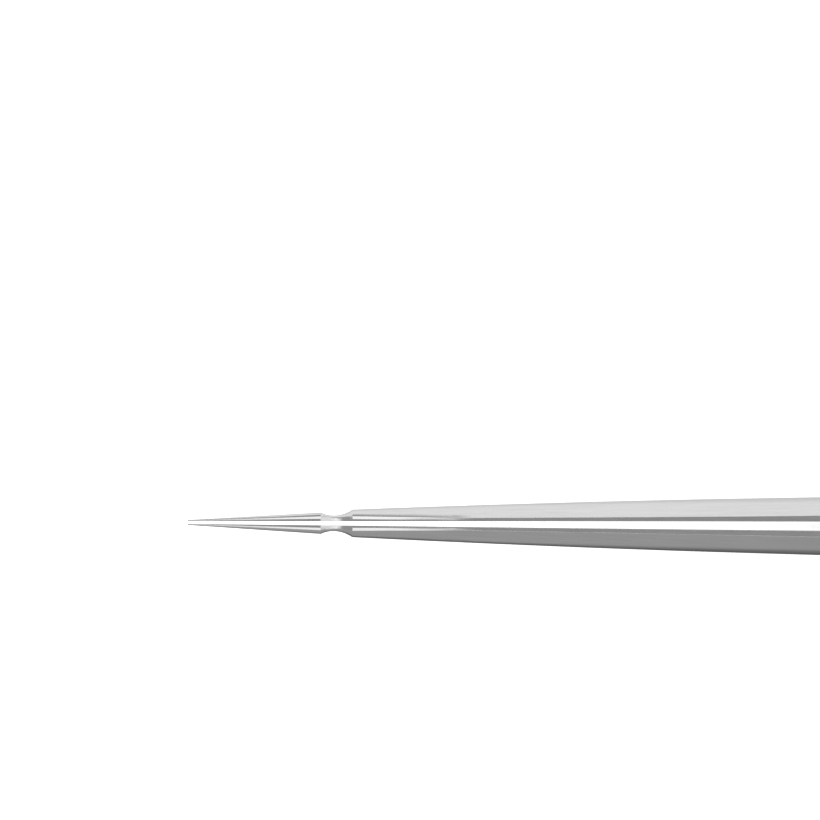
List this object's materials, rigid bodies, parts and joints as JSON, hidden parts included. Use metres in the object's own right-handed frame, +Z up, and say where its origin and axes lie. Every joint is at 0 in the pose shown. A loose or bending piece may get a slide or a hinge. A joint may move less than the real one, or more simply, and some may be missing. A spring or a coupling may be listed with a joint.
{
  "type": "pointed tweezers",
  "caption": "Pointed precision tweezers: faceted tapering legs with needle tips behind scalloped necks, welded at the heel, sprung to open.",
  "frame": {"origin": "on the surface the tweezers lie on, under the middle of their length and midway between the legs", "axes": "+X along the length from the needle tips to the heel, +Y across the gap towards the left leg, the way the legs open, +Z up across the width of the legs"},
  "size_m": [0.12, 0.0052, 0.0088],
  "materials": {
    "ground_steel": "satin ground stainless steel",
    "weld_metal": "dull fused steel"
  },
  "bodies": {
    "heel": {"heel_weld": "weld_metal"},
    "left": {"left_leg": "ground_steel"},
    "right": {"right_leg": "ground_steel"}
  },
  "joints": [
    {"name": "left_flex", "type": "hinge", "parent": "heel", "child": "left", "pos_m": [0.06, 0.0001, 0.0044], "axis": [0, 0, -1], "range_deg": [-0.05, 2], "stiffness_Nm_per_rad": 3, "springref_deg": 2},
    {"name": "right_flex", "type": "hinge", "parent": "heel", "child": "right", "pos_m": [0.06, -0.0001, 0.0044], "axis": [0, 0, 1], "range_deg": [-0.05, 2], "stiffness_Nm_per_rad": 3, "springref_deg": 2}
  ]
}
